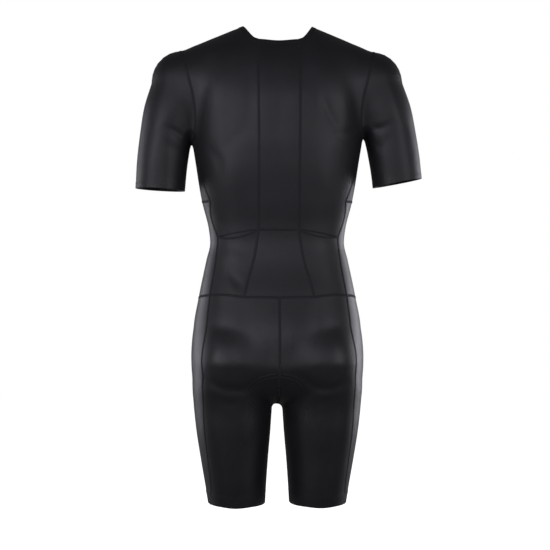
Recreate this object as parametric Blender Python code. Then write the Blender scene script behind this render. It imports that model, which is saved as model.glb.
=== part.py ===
"""Short-sleeved triathlon suit, filled out with no wearer inside it.

The cloth lies on a general figure: a trunk, two arms and two legs, each a stack of rounded
sections, blended where they meet.  Seam lines are drawn on that figure, and each panel is a
wall of cloth between its seams.  +Z is up, -Y is the wearer's front and +X the wearer's left.
The origin is midway between the two neck points, where the shoulders carry the suit.
Heights are given as drops: millimetres below the neck points.
"""

import math

import bmesh
import bpy
import numpy as np

MM = 0.001

# Driving dimensions, in millimetres
CLOTH = 1.2            # wall of every cloth panel
SEAM_GAP = 0.3         # space between two pieces that are sewn together
NECK_BAND = 7.0        # width of the band round the neck
ZIP_OPENING = 5.0      # from the centre line to the front panel's edge
ZIP_TAPE = 15.0        # from the centre line to the tape's outer edge
STRIP_HALF = 38.0      # half of the centre back strip
NOTCH_DROP = 335.0     # seam across the side panel, under the arm
POCKET_DROP = 389.0    # mouth of the back pockets at the strip
POCKET_SIDE_DROP = 403.0   # and at the side
WAIST_BACK_DROP = 516.0    # seam between the upper body and the shorts
WAIST_SIDE_DROP = 518.0
HEM_DROP = 908.0

BAND_THICK = 2.2       # the neck band is folded over, so it is thicker
POCKET_GAPE = 2.5      # how far a pocket's mouth stands off its lining
POCKET_DIP = {+1: 7.0, -1: 5.0}   # how far the middle of each mouth hangs down
PAD_SET_IN = 4.7       # from the figure to the pad, so that it clears the faceted cloth
TAPE_SET_IN = 2.1      # from the figure to the zip tapes, behind the front edges
PAD_THICK = 5.0
PAD_TURNS = (10, 158)  # where the pad starts and ends round the crotch, in degrees from the back
PAD_HALF_WIDTHS = (20, 42, 51, 50, 42, 33, 28, 27, 30, 32, 24)
CHAIN_HALF = 2.6       # half of the closed zip chain
CHAIN_PROUD = 0.4      # how far it stands out of the cloth
SLIDER_DROP = 96.0
SLIDER_PLATE = 1.8
BAIL_HALF = 4.6        # the slider's loop: half length, bar and opening
BAIL_BAR = 1.2
BAIL_HOLE = 2.6
TAB_LENGTH = 27.0
TAB_HALF = 3.8
TAB_THICK = 1.4
TAB_BAR = 1.6          # the bar at the tab's upper end, which turns in the bail
TAB_WINDOW = 5.8
TAB_WINDOW_HALF = 1.7

SIDES = ((+1, "left"), (-1, "right"))

# How each arm was set down: +1 is the wearer's left, -1 the wearer's right
ARMS = {
    +1: dict(swing=-1.0, cuff_drop=311.0, cuff_tilt=5.0),
    -1: dict(swing=1.5, cuff_drop=300.0, cuff_tilt=10.0),
}
ARM_PIVOT = (180.0, 105.0)   # x and drop of the shoulder joint

# The figure.  Each row: drop, x of the centre, half width, y of the widest line, y of the back
# and front at the centre, and how square the section is (2 is an ellipse).
TRUNK = (
    (-40, 0, 58, 0, 46, -50, 2.0),
    (0, 0, 67, 0, 54, -57, 2.0),
    (12, 0, 96, 0, 58, -60, 2.0),
    (30, 0, 139, 0, 65, -65, 2.1),
    (48, 0, 178, 0, 75, -73, 2.2),
    (66, 0, 186, 0, 84, -82, 2.3),
    (100, 0, 181, 0, 96, -97, 2.4),
    (150, 0, 171, 0, 104, -112, 2.4),
    (214, 0, 163, 0, 104, -119, 2.4),
    (260, 0, 156, 0, 99, -117, 2.4),
    (337, 0, 143, 0, 83, -108, 2.35),
    (385, 0, 131, 0, 72, -99, 2.3),
    (413, 0, 128, 0, 69, -96, 2.3),
    (445, 0, 135, 0, 72, -95, 2.3),
    (512, 0, 149, 0, 91, -96, 2.35),
    (584, 0, 160, 2, 110, -96, 2.4),
    (640, 0, 150, 4, 112, -92, 2.4),
)
TRUNK_CAP = (0, 76)          # how far the section closes above its first row and below its last
ARM = (
    (108, 181, 58.5, 2, 62, -58, 2.1),
    (152, 198, 56, 1, 63, -60, 2.1),
    (205, 213, 50.5, 0, 59, -58, 2.1),
    (258, 222, 48.5, -2, 55, -57, 2.1),
    (311, 227, 47, -4, 50, -56, 2.1),
    (350, 230, 46.5, -5, 48, -55, 2.1),
)
ARM_CAP = (60, 0)
LEG = (
    (640, 86, 76, 8, 118, -91, 2.3),
    (680, 86, 76, 6, 108, -93, 2.3),
    (722, 85, 74.5, 2, 96, -95, 2.3),
    (766, 84, 71, 0, 90, -94, 2.3),
    (825, 82, 64, -2, 81, -88, 2.25),
    (884, 79, 57, -3, 72, -79, 2.2),
    (912, 77.5, 54, -3, 67, -75, 2.2),
    (960, 76.5, 52, -3, 62, -70, 2.2),
)
LEG_CAP = (80, 0)
ARM_BLEND = (9.0, 34.0)      # blend radius under the arm, and at the back and front of the shoulder
LEG_BLEND = 26.0

# Cells along each seam
CELLS = dict(
    half_strip=2, neck_back=3, neck_front=4, shoulder=4, armhole=7, underarm=4,
    side_upper=4, side_mid=2, side_lower=4, sleeve=7, seat=8, inseam=5,
)


def columns_of(table):
    """The table as one smooth curve for each column, read at any drop."""
    rows = np.array(table, float)
    drops = rows[:, 0]
    slopes = np.gradient(rows[:, 1:], drops, axis=0)
    # a flat or turning stretch keeps a flat tangent, so that no section bulges past its rows
    steps = np.diff(rows[:, 1:], axis=0)
    turning = steps[:-1] * steps[1:] <= 0
    slopes[1:-1][turning] = 0
    fine = np.linspace(drops[0], drops[-1], 1500)
    index = np.clip(np.searchsorted(drops, fine, side="right") - 1, 0, len(drops) - 2)
    width = np.diff(drops)[index][:, None]
    t = ((fine - drops[index]) / width[:, 0])[:, None]
    low, high = rows[index, 1:], rows[index + 1, 1:]
    values = (
        (2 * t**3 - 3 * t**2 + 1) * low
        + (t**3 - 2 * t**2 + t) * width * slopes[index]
        + (3 * t**2 - 2 * t**3) * high
        + (t**3 - t**2) * width * slopes[index + 1]
    )
    return fine, values


class Limb:
    """A stack of rounded sections, closed by round caps."""

    def __init__(self, table, caps):
        self.drops, self.values = columns_of(table)
        self.caps = caps

    def distance(self, x, y, drop):
        """Roughly how far a point lies outside the limb, in millimetres."""
        x0, half, side_y, back_y, front_y, square = (
            np.interp(drop, self.drops, self.values[:, k]) for k in range(6)
        )
        depth = np.where(y > side_y, back_y - side_y, side_y - front_y)
        across = np.abs(x - x0) / half
        along = np.abs(y - side_y) / depth
        total = across**square + along**square
        for edge, cap, sign in ((self.drops[0], self.caps[0], -1), (self.drops[-1], self.caps[1], 1)):
            if cap:
                total = total + (np.maximum(0, sign * (drop - edge)) / cap) ** 2
        norm = np.maximum(total, 1e-9) ** (1 / square)
        slope = np.hypot(across ** (square - 1) / half, along ** (square - 1) / depth)
        slope = slope * norm ** (1 - square)
        return (norm - 1) / np.maximum(slope, 1 / (1.6 * np.maximum(half, depth)))


TRUNK_LIMB = Limb(TRUNK, TRUNK_CAP)
ARM_LIMB = Limb(ARM, ARM_CAP)
LEG_LIMB = Limb(LEG, LEG_CAP)


def blended(a, b, radius):
    """The smaller of two distances, rounded off where they are alike."""
    share = np.maximum(radius - np.abs(a - b), 0) / radius
    return np.minimum(a, b) - share * share * radius / 4


def arm_distance(points, side):
    angle = math.radians(ARMS[side]["swing"])
    x, drop = side * points[:, 0] - ARM_PIVOT[0], -points[:, 2] - ARM_PIVOT[1]
    turned_x = x * math.cos(angle) - drop * math.sin(angle)
    turned_drop = x * math.sin(angle) + drop * math.cos(angle)
    return ARM_LIMB.distance(turned_x + ARM_PIVOT[0], points[:, 1], turned_drop + ARM_PIVOT[1])


def figure(points, arms=True):
    """Signed distance of points (in millimetres) from the figure."""
    x, y, drop = points[:, 0], points[:, 1], -points[:, 2]
    body = TRUNK_LIMB.distance(x, y, drop)
    for side in (+1, -1):
        body = blended(body, LEG_LIMB.distance(side * x, y, drop), LEG_BLEND)
    if arms:
        share = np.clip(np.abs(y) / 45, 0, 1) ** 2
        radius = ARM_BLEND[0] + (ARM_BLEND[1] - ARM_BLEND[0]) * share
        for side in (+1, -1):
            body = blended(body, arm_distance(points, side), radius)
    return body


def slope_of(points, arms=True):
    step = 0.4
    moves = np.eye(3) * step
    return np.stack([
        (figure(points + m, arms) - figure(points - m, arms)) / (2 * step) for m in moves
    ], axis=1)


def settle(points, arms=True):
    """The points moved straight onto the figure."""
    flat = np.array(points, float).reshape(-1, 3)
    for _ in range(9):
        slope = slope_of(flat, arms)
        size = np.maximum((slope**2).sum(1), 0.05)
        move = (figure(flat, arms) / size)[:, None] * slope
        length = np.linalg.norm(move, axis=1, keepdims=True)
        flat = flat - move * np.minimum(1, 25 / np.maximum(length, 1e-9))
    return flat.reshape(np.shape(points))


def normals_of(points):
    slope = slope_of(points.reshape(-1, 3))
    return (slope / np.linalg.norm(slope, axis=1, keepdims=True)).reshape(points.shape)


def cast(start, direction, arms=True):
    """The first point of the figure met from start along direction."""
    reach = np.arange(0, 700, 1.0)
    line = np.array(start, float) + reach[:, None] * np.array(direction, float)
    inside = figure(line, arms) < 0
    first = int(np.argmax(inside))
    return settle(line[first : first + 1], arms)[0]


def on_back(x, drop):
    return cast((x, 300, -drop), (0, -1, 0))


def on_front(x, drop):
    return cast((x, -300, -drop), (0, 1, 0))


def on_side(side, y, drop):
    """On the trunk's or leg's outer side, under the arm."""
    return cast((side * 340, y, -drop), (-side, 0, 0), arms=False)


def on_top(x, y):
    return cast((x, y, 200), (0, 0, -1))


def inside_leg(side, y, drop):
    return cast((0, y, -drop), (side, 0, 0))


def smooth_line(points, count):
    """A smooth line through the points (Catmull-Rom by chord length)."""
    points = np.array(points, float)
    chords = np.maximum(np.linalg.norm(np.diff(points, axis=0), axis=1), 1e-6) ** 0.5
    knots = np.concatenate([[0], np.cumsum(chords)])
    slopes = np.gradient(points, knots, axis=0)
    at = np.linspace(0, knots[-1], count)
    index = np.clip(np.searchsorted(knots, at, side="right") - 1, 0, len(knots) - 2)
    width = (knots[index + 1] - knots[index])[:, None]
    t = ((at - knots[index]) / width[:, 0])[:, None]
    return (
        (2 * t**3 - 3 * t**2 + 1) * points[index]
        + (t**3 - 2 * t**2 + t) * width * slopes[index]
        + (3 * t**2 - 2 * t**3) * points[index + 1]
        + (t**3 - t**2) * width * slopes[index + 1]
    )


def length_along(line):
    return np.concatenate([[0], np.cumsum(np.linalg.norm(np.diff(line, axis=0), axis=1))])


def evenly(line, cells):
    """cells + 1 points along the line, evenly spaced."""
    length = length_along(line)
    at = np.linspace(0, length[-1], cells + 1)
    return np.stack([np.interp(at, length, line[:, k]) for k in range(3)], 1)


def seam(points, cells):
    """A smooth line on the figure through a few design points, in cells + 1 even points."""
    return settle(evenly(settle(smooth_line(points, 25 * len(points))), cells))


def joined(*lines):
    """Lines end to end, each a row of points, as one row."""
    return np.concatenate([lines[0]] + [line[1:] for line in lines[1:]])


def relaxed(grid, rounds=8):
    """Evens out a panel's inner points on the figure, leaving its edges where they are."""
    for _ in range(rounds):
        middle = (grid[:-2, 1:-1] + grid[2:, 1:-1] + grid[1:-1, :-2] + grid[1:-1, 2:]) / 4
        grid[1:-1, 1:-1] = settle(0.5 * grid[1:-1, 1:-1] + 0.5 * middle)
    return grid


def spread(top, bottom, left, right):
    """A grid of points on the figure between four seams: rows run from top to bottom."""
    rows, columns = len(left), len(top)
    u = np.linspace(0, 1, columns)[None, :, None]
    v = np.linspace(0, 1, rows)[:, None, None]
    across = (1 - v) * top[None] + v * bottom[None]
    along = (1 - u) * left[:, None] + u * right[:, None]
    corners = (
        (1 - u) * (1 - v) * top[0] + u * (1 - v) * top[-1] + (1 - u) * v * bottom[0] + u * v * bottom[-1]
    )
    grid = across + along - corners
    grid[1:-1, 1:-1] = settle(grid[1:-1, 1:-1])
    return relaxed(grid)


def drawn_in(grid, amount):
    """The panel's edges moved towards its middle, which leaves the seam gap."""
    moved = grid.copy()
    for axis in (0, 1):
        turned = np.moveaxis(grid, axis, 0)
        result = np.moveaxis(moved, axis, 0)
        for edge, inner in ((0, 1), (-1, -2)):
            along = np.gradient(turned[edge], axis=0)
            along /= np.linalg.norm(along, axis=1, keepdims=True)
            inwards = turned[inner] - turned[edge]
            inwards -= (inwards * along).sum(1, keepdims=True) * along
            result[edge] += amount * inwards / np.linalg.norm(inwards, axis=1, keepdims=True)
    return moved


def add_object(name, verts, faces, colour, roughness):
    """A named object from points in millimetres, with a material of its own."""
    mesh = bpy.data.meshes.new(name)
    mesh.from_pydata([tuple(float(c) * MM for c in v) for v in verts], [], faces)
    solid = bmesh.new()
    solid.from_mesh(mesh)
    bmesh.ops.recalc_face_normals(solid, faces=solid.faces)
    if solid.calc_volume(signed=True) < 0:
        bmesh.ops.reverse_faces(solid, faces=solid.faces)
    solid.to_mesh(mesh)
    solid.free()
    mesh.shade_smooth()
    mesh.set_sharp_from_angle(angle=math.radians(40))
    material = bpy.data.materials.new(name)
    material.use_nodes = True
    shader = material.node_tree.nodes["Principled BSDF"]
    shader.inputs["Base Color"].default_value = (*colour, 1.0)
    shader.inputs["Roughness"].default_value = roughness
    mesh.materials.append(material)
    made = bpy.data.objects.new(name, mesh)
    bpy.context.collection.objects.link(made)
    return made


JERSEY = dict(colour=(0.012, 0.012, 0.014), roughness=0.72)
SHINY_JERSEY = dict(colour=(0.035, 0.036, 0.040), roughness=0.5)
LYCRA = dict(colour=(0.014, 0.014, 0.016), roughness=0.6)
PAD_FOAM = dict(colour=(0.02, 0.02, 0.022), roughness=0.9)
ZIP_CLOTH = dict(colour=(0.01, 0.01, 0.011), roughness=0.8)
ZIP_NYLON = dict(colour=(0.015, 0.015, 0.016), roughness=0.4)
ZIP_METAL = dict(colour=(0.05, 0.05, 0.055), roughness=0.35)


def wall(name, grid, look, outer=0.0, thickness=CLOTH, inset=SEAM_GAP / 2):
    """A closed wall of cloth on a grid of figure points.

    outer is how far its outer face stands off the figure, one number or one for each point.
    """
    rows, columns = grid.shape[:2]
    normals = normals_of(grid)
    lift = np.broadcast_to(np.asarray(outer, float), (rows, columns))[..., None]
    edge = drawn_in(grid, inset)
    outside = edge + normals * lift
    inside = edge + normals * (lift - thickness)
    verts = np.concatenate([outside.reshape(-1, 3), inside.reshape(-1, 3)])
    shift = rows * columns
    at = np.arange(shift).reshape(rows, columns)
    faces = []
    for i in range(rows - 1):
        for j in range(columns - 1):
            a, b, c, d = at[i, j], at[i, j + 1], at[i + 1, j + 1], at[i + 1, j]
            # both faces of the wall are split along the same diagonal, so that it stays as thick
            for three in ((a, b, c), (a, c, d)):
                faces.append(tuple(int(k) for k in three))
                faces.append(tuple(int(k) + shift for k in reversed(three)))
    ring = [*at[0, :], *at[1:, -1], *at[-1, -2::-1], *at[-2:0:-1, 0]]
    for a, b in zip(ring, ring[1:] + ring[:1]):
        faces.append((int(b), int(a), int(a) + shift, int(b) + shift))
    return add_object(name, verts, faces, **look)


def arm_point(side, x, y, drop):
    """A point given beside a straight arm, turned with the real one."""
    angle = math.radians(ARMS[side]["swing"])
    dx, dd = x - ARM_PIVOT[0], drop - ARM_PIVOT[1]
    turned_x = dx * math.cos(angle) + dd * math.sin(angle)
    turned_drop = -dx * math.sin(angle) + dd * math.cos(angle)
    return np.array([side * (turned_x + ARM_PIVOT[0]), y, -(turned_drop + ARM_PIVOT[1])])


def sleeve_ring(side, drop, tilt, cells):
    """Points round the arm where a tilted plane cuts it, from under the arm and round the back."""
    index = int(np.searchsorted(ARM_LIMB.drops, drop))
    x0, half, side_y, back_y, front_y, _ = ARM_LIMB.values[index]
    points = []
    for k in range(8 * cells + 1):
        turn = 2 * math.pi * k / (8 * cells)
        out, back = -math.cos(turn), math.sin(turn)
        y = side_y + back * ((back_y - side_y) if back > 0 else (side_y - front_y)) * 1.15
        lower = drop - out * half * math.tan(math.radians(tilt))
        points.append(arm_point(side, x0 + out * half * 1.15, y, lower))
    return evenly(settle(np.array(points)), cells)


def torso_seams(side):
    """The seams of one side of the upper body, each a row of points from top to bottom."""
    s = side
    neck_side = on_top(s * 73.5, -5)
    neck_strip = on_back(s * STRIP_HALF, 38)
    neck_zip = on_front(s * ZIP_OPENING, 84)
    tip = cast((s * 187, -8, 200), (0, 0, -1))
    pocket_strip = on_back(s * STRIP_HALF, POCKET_DROP)
    waist_strip = on_back(s * 66, WAIST_BACK_DROP)
    armpit = cast((s * 163, 0, -330), (0, 0, 1))
    under_back = cast((s * 162, 17, -330), (0, 0, 1))
    under_front = cast((s * 162, -17, -330), (0, 0, 1))
    notch_back = on_side(s, 44, NOTCH_DROP)
    notch_front = on_side(s, -46, NOTCH_DROP)
    pocket_side = on_back(s * 114, POCKET_SIDE_DROP)
    waist_back_side = on_back(s * 129, WAIST_BACK_DROP - 3)
    waist_front_side = on_front(s * 132, WAIST_SIDE_DROP)
    waist_zip = on_front(s * ZIP_OPENING, WAIST_SIDE_DROP - 2)
    hole_back = [on_back(s * x, drop) for x, drop in ((177, 72), (169, 104), (160, 140), (156, 172), (157, 200))]
    hole_front = [on_front(s * x, drop) for x, drop in ((174, 72), (161, 104), (152, 140), (149, 172), (153, 200))]
    pocket_middle = on_back(s * 76, (POCKET_DROP + POCKET_SIDE_DROP) / 2 - 1)
    half_under = CELLS["underarm"] // 2
    to_pocket = CELLS["armhole"] + CELLS["side_upper"] + CELLS["side_mid"]
    back_width = CELLS["neck_back"] + CELLS["shoulder"]
    front_width = CELLS["neck_front"] + CELLS["shoulder"]
    lower = CELLS["side_lower"]
    return dict(
        neck_back=seam([neck_strip, on_back(s * 50, 33), on_back(s * 61, 21), neck_side], CELLS["neck_back"]),
        neck_front=seam([neck_zip, on_front(s * 38, 70), on_front(s * 62, 36), neck_side], CELLS["neck_front"]),
        shoulder=seam([neck_side, on_top(s * 110, -9), on_top(s * 150, -10), tip], CELLS["shoulder"]),
        armhole_back=seam([tip, *hole_back, under_back], CELLS["armhole"]),
        armhole_front=seam([tip, *hole_front, under_front], CELLS["armhole"]),
        underarm=joined(seam([under_back, armpit], half_under), seam([armpit, under_front], half_under)),
        strip_upper=seam([neck_strip, on_back(s * STRIP_HALF, 200), pocket_strip], to_pocket),
        flare=seam([pocket_strip, on_back(s * 46, 442), on_back(s * 57, 482), waist_strip], lower),
        side_back_upper=seam(
            [under_back, on_side(s, 26, 262), on_side(s, 38, 300), notch_back], CELLS["side_upper"]
        ),
        side_back_mid=seam([notch_back, on_back(s * 126, 368), pocket_side], CELLS["side_mid"]),
        side_back_lower=seam([pocket_side, on_back(s * 115, 424), on_back(s * 121, 466), waist_back_side], lower),
        side_front_upper=seam(
            [under_front, on_side(s, -28, 262), on_side(s, -39, 300), notch_front], CELLS["side_upper"]
        ),
        side_front_mid=seam([notch_front, on_front(s * 124, 372), on_front(s * 117, 400)], CELLS["side_mid"]),
        side_front_lower=seam(
            [on_front(s * 117, 400), on_front(s * 118, 430), on_front(s * 124, 470), waist_front_side], lower
        ),
        notch=seam([notch_back, on_side(s, 0, NOTCH_DROP), notch_front], CELLS["underarm"]),
        zip_edge=seam(
            [neck_zip, on_front(s * ZIP_OPENING, 200), on_front(s * ZIP_OPENING, 360), waist_zip], to_pocket + lower
        ),
        pocket=seam([pocket_strip, pocket_middle, pocket_side], back_width),
        waist_back=seam([waist_strip, on_back(s * 100, WAIST_BACK_DROP - 4), waist_back_side], back_width),
        waist_side=seam([waist_back_side, on_side(s, 0, WAIST_SIDE_DROP), waist_front_side], CELLS["underarm"]),
        waist_front=seam([waist_front_side, on_front(s * 70, WAIST_SIDE_DROP), waist_zip], front_width),
        waist_centre=seam([on_back(0, WAIST_BACK_DROP + 1), waist_strip], CELLS["half_strip"]),
        waist_zip=seam([waist_zip, on_front(0, WAIST_SIDE_DROP - 2)], 1),
    )


def crotch_point(turn):
    """On the centre line: turn 0 is the back, 90 is straight under, 180 is the front."""
    angle = math.radians(turn)
    way = np.array([0.0, math.cos(angle), -math.sin(angle)])
    return cast(np.array([0, 0, -640.0]) + 320 * way, -way)


def leg_seams(side, torso):
    """The seams of one leg, each a row of points from top to bottom."""
    s = side
    crotch = crotch_point(90)
    under_back = [crotch_point(turn) for turn in (5, 30, 55, 75)]
    under_front = [crotch_point(turn) for turn in (175, 150, 125, 105)]
    inner = [inside_leg(s, -2, drop) for drop in (745, 790, 850)]
    hem_inner = inside_leg(s, -3, HEM_DROP)
    hem_back_side = on_side(s, 26, HEM_DROP)
    hem_front_side = on_side(s, -36, HEM_DROP)
    hem_back = [on_back(s * x, HEM_DROP + lower) for x, lower in ((50, 2), (80, 4), (108, 2))]
    hem_front = [on_front(s * x, HEM_DROP) for x in (80, 46)]
    side_back = [(134, 562), (141, 606), (143, 655), (142, 700), (140, 748), (133, 822), (127, 876)]
    side_back = [on_back(s * x, drop) for x, drop in side_back]
    side_front = [on_side(s, y, drop) for y, drop in ((-56, 580), (-55, 660), (-50, 760), (-42, 850))]
    along = CELLS["seat"] + CELLS["inseam"]
    back_width = CELLS["half_strip"] + CELLS["neck_back"] + CELLS["shoulder"]
    front_width = CELLS["neck_front"] + CELLS["shoulder"] + 1
    return dict(
        seat=seam([torso["waist_centre"][0], on_back(0, 580), *under_back, crotch], CELLS["seat"]),
        front=seam([torso["waist_zip"][-1], on_front(0, 580), *under_front, crotch], CELLS["seat"]),
        inseam=seam([crotch, *inner, hem_inner], CELLS["inseam"]),
        side_back=seam([torso["waist_side"][0], *side_back, hem_back_side], along),
        side_front=seam([torso["waist_side"][-1], *side_front, hem_front_side], along),
        hem_back=seam([hem_inner, *hem_back, hem_back_side], back_width),
        hem_side=seam([hem_back_side, on_side(s, -5, HEM_DROP), hem_front_side], CELLS["underarm"]),
        hem_front=seam([hem_front_side, *hem_front, hem_inner], front_width),
    )


def make_back(torso):
    """The centre strip, the two back panels, the flared waist piece and the two pockets."""
    left, right = torso[+1], torso[-1]
    half = CELLS["half_strip"]
    neck = seam([right["neck_back"][0], on_back(0, 41), left["neck_back"][0]], 2 * half)
    pocket = seam([right["pocket"][0], on_back(0, POCKET_DROP), left["pocket"][0]], 2 * half)
    waist = joined(right["waist_centre"][::-1], left["waist_centre"])
    wall("back_centre", spread(neck, pocket, right["strip_upper"], left["strip_upper"]), JERSEY)
    wall("back_waist_centre", spread(pocket, waist, right["flare"], left["flare"]), JERSEY)
    for side, word in SIDES:
        seams = torso[side]
        top = joined(seams["neck_back"], seams["shoulder"])
        outer = joined(seams["armhole_back"], seams["side_back_upper"], seams["side_back_mid"])
        wall(f"back_{word}", spread(top, seams["pocket"], seams["strip_upper"], outer), JERSEY)
        grid = spread(seams["pocket"], seams["waist_back"], seams["flare"], seams["side_back_lower"])
        wall(f"pocket_lining_{word}", grid, JERSEY, outer=-(CLOTH + SEAM_GAP))
        make_pocket(word, side, grid)
    return neck


def make_pocket(word, side, grid):
    """The pocket's outer panel: its mouth stands off the lining and dips in the middle."""
    rows, columns = grid.shape[:2]
    bow = np.sin(np.linspace(0, math.pi, columns)) ** 1.2
    fade = np.linspace(1, 0, rows) ** 1.5
    dipped = grid.copy()
    dipped[0, 1:-1, 2] -= POCKET_DIP[side] * bow[1:-1]
    dipped[0] = settle(dipped[0])
    wall(f"pocket_{word}", dipped, JERSEY, outer=POCKET_GAPE * fade[:, None] * bow[None])


def make_sides(torso):
    for side, word in SIDES:
        seams = torso[side]
        upper = spread(seams["underarm"], seams["notch"], seams["side_back_upper"], seams["side_front_upper"])
        wall(f"side_upper_{word}", upper, JERSEY, inset=SEAM_GAP)
        back = joined(seams["side_back_mid"], seams["side_back_lower"])
        front = joined(seams["side_front_mid"], seams["side_front_lower"])
        wall(f"side_lower_{word}", spread(seams["notch"], seams["waist_side"], back, front), SHINY_JERSEY)


def make_fronts(torso):
    fronts = {}
    for side, word in SIDES:
        seams = torso[side]
        top = joined(seams["neck_front"], seams["shoulder"])
        outer = joined(
            seams["armhole_front"], seams["side_front_upper"], seams["side_front_mid"], seams["side_front_lower"]
        )
        fronts[side] = spread(top, seams["waist_front"][::-1], seams["zip_edge"], outer)
        wall(f"front_{word}", fronts[side], JERSEY)
    return fronts


def make_neck_band(torso, neck):
    """A folded band on the neckline, from one side of the zip round the back to the other."""
    left, right = (joined(torso[side]["neck_back"], torso[side]["neck_front"][::-1]) for side, _ in SIDES)
    line = joined(right[::-1], neck, left)
    normals = normals_of(line)
    along = np.gradient(line, axis=0)
    upwards = np.cross(along, normals)
    upwards /= np.linalg.norm(upwards, axis=1, keepdims=True)
    if upwards[len(line) // 2, 2] < 0:
        upwards = -upwards
    rows = [settle(line + upwards * NECK_BAND * share) for share in (1.0, 0.5)] + [line]
    wall("neck_band", np.array(rows), LYCRA, outer=0.5, thickness=BAND_THICK)


def make_sleeves(torso):
    """One piece each, wrapped round the arm and closed under it, with the cuff's raw edge turned in."""
    half = CELLS["underarm"] // 2
    for side, word in SIDES:
        seams, arm = torso[side], ARMS[side]
        under = seams["underarm"]
        hole = joined(
            under[: half + 1][::-1], seams["armhole_back"][::-1], seams["armhole_front"], under[half:][::-1]
        )
        count = len(hole) - 1
        middle = sleeve_ring(side, 205, arm["cuff_tilt"] * 0.4, count)
        cuff = sleeve_ring(side, arm["cuff_drop"], arm["cuff_tilt"], count)
        lines = [seam([hole[k], middle[k], cuff[k]], CELLS["sleeve"]) for k in range(count + 1)]
        grid = np.stack(lines, axis=1)
        under_line = (grid[:, 0] + grid[:, -1]) / 2
        grid[1:, 0] = grid[1:, -1] = settle(under_line[1:])
        wall(f"sleeve_{word}", relaxed(grid, 4), JERSEY, inset=SEAM_GAP)


def make_legs(torso, legs):
    for side, word in SIDES:
        upper, seams = torso[side], legs[side]
        inner_back = joined(seams["seat"], seams["inseam"])
        inner_front = joined(seams["front"], seams["inseam"])
        top = joined(upper["waist_centre"], upper["waist_back"])
        wall(f"leg_back_{word}", spread(top, seams["hem_back"], inner_back, seams["side_back"]), LYCRA)
        wall(
            f"leg_side_{word}",
            spread(upper["waist_side"], seams["hem_side"], seams["side_back"], seams["side_front"]),
            SHINY_JERSEY,
        )
        top = joined(upper["waist_front"], upper["waist_zip"])
        wall(f"leg_front_{word}", spread(top, seams["hem_front"], seams["side_front"], inner_front), LYCRA)


def make_seat_pad():
    """A foam pad inside the crotch, from the seat round to the front."""
    turns = np.linspace(PAD_TURNS[0], PAD_TURNS[1], len(PAD_HALF_WIDTHS))
    centre = np.array([crotch_point(t) for t in turns])
    along = np.gradient(centre, axis=0)
    steps = 4
    halves = {}
    for sign in (-1, 1):
        line, points = [centre], centre
        heading = along
        for _ in range(steps):
            across = np.cross(normals_of(points), heading)
            across /= np.linalg.norm(across, axis=1, keepdims=True)
            if across[0, 0] * sign < 0:
                across = -across
            points = settle(points + across * (np.array(PAD_HALF_WIDTHS) / steps)[:, None])
            line.append(points)
        halves[sign] = line
    grid = np.stack(halves[-1][::-1] + halves[1][1:], axis=1)
    wall("seat_pad", grid, PAD_FOAM, outer=-PAD_SET_IN, thickness=PAD_THICK, inset=0)


def make_zip(torso, fronts):
    """Tapes behind the front edges, the closed chain, the slider and its pull tab."""
    for side, word in SIDES:
        edge, next_line = fronts[side][:, 0], fronts[side][:, 1]
        inner = edge.copy()
        inner[:, 0] = side * 0.4
        share = (ZIP_TAPE - ZIP_OPENING) / np.abs(next_line[:, :1] - edge[:, :1])
        grid = np.stack([settle(inner), edge, edge + share * (next_line - edge)], axis=1)
        wall(f"zip_tape_{word}", grid, ZIP_CLOTH, outer=-TAPE_SET_IN, thickness=0.8, inset=0)
    edge = torso[1]["zip_edge"]
    columns = []
    for x in (-CHAIN_HALF, 0, CHAIN_HALF):
        line = edge.copy()
        line[:, 0] = x
        columns.append(settle(line))
    chain = np.stack(columns, axis=1)
    wall("zip_chain", chain, ZIP_NYLON, outer=CHAIN_PROUD, thickness=CLOTH + CHAIN_PROUD, inset=0)
    make_slider(chain)


def block(name, centre, half, frame, look, bevel):
    """A rounded block whose own axes are the columns of frame."""
    solid = bmesh.new()
    bmesh.ops.create_cube(solid, size=2.0)
    bmesh.ops.scale(solid, vec=half, verts=solid.verts)
    bmesh.ops.bevel(solid, geom=solid.edges[:], offset=bevel, segments=2, profile=0.5, affect="EDGES")
    verts = [centre + frame @ np.array(v.co) for v in solid.verts]
    solid.verts.index_update()
    faces = [tuple(v.index for v in f.verts) for f in solid.faces]
    solid.free()
    return add_object(name, verts, faces, **look)


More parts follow.
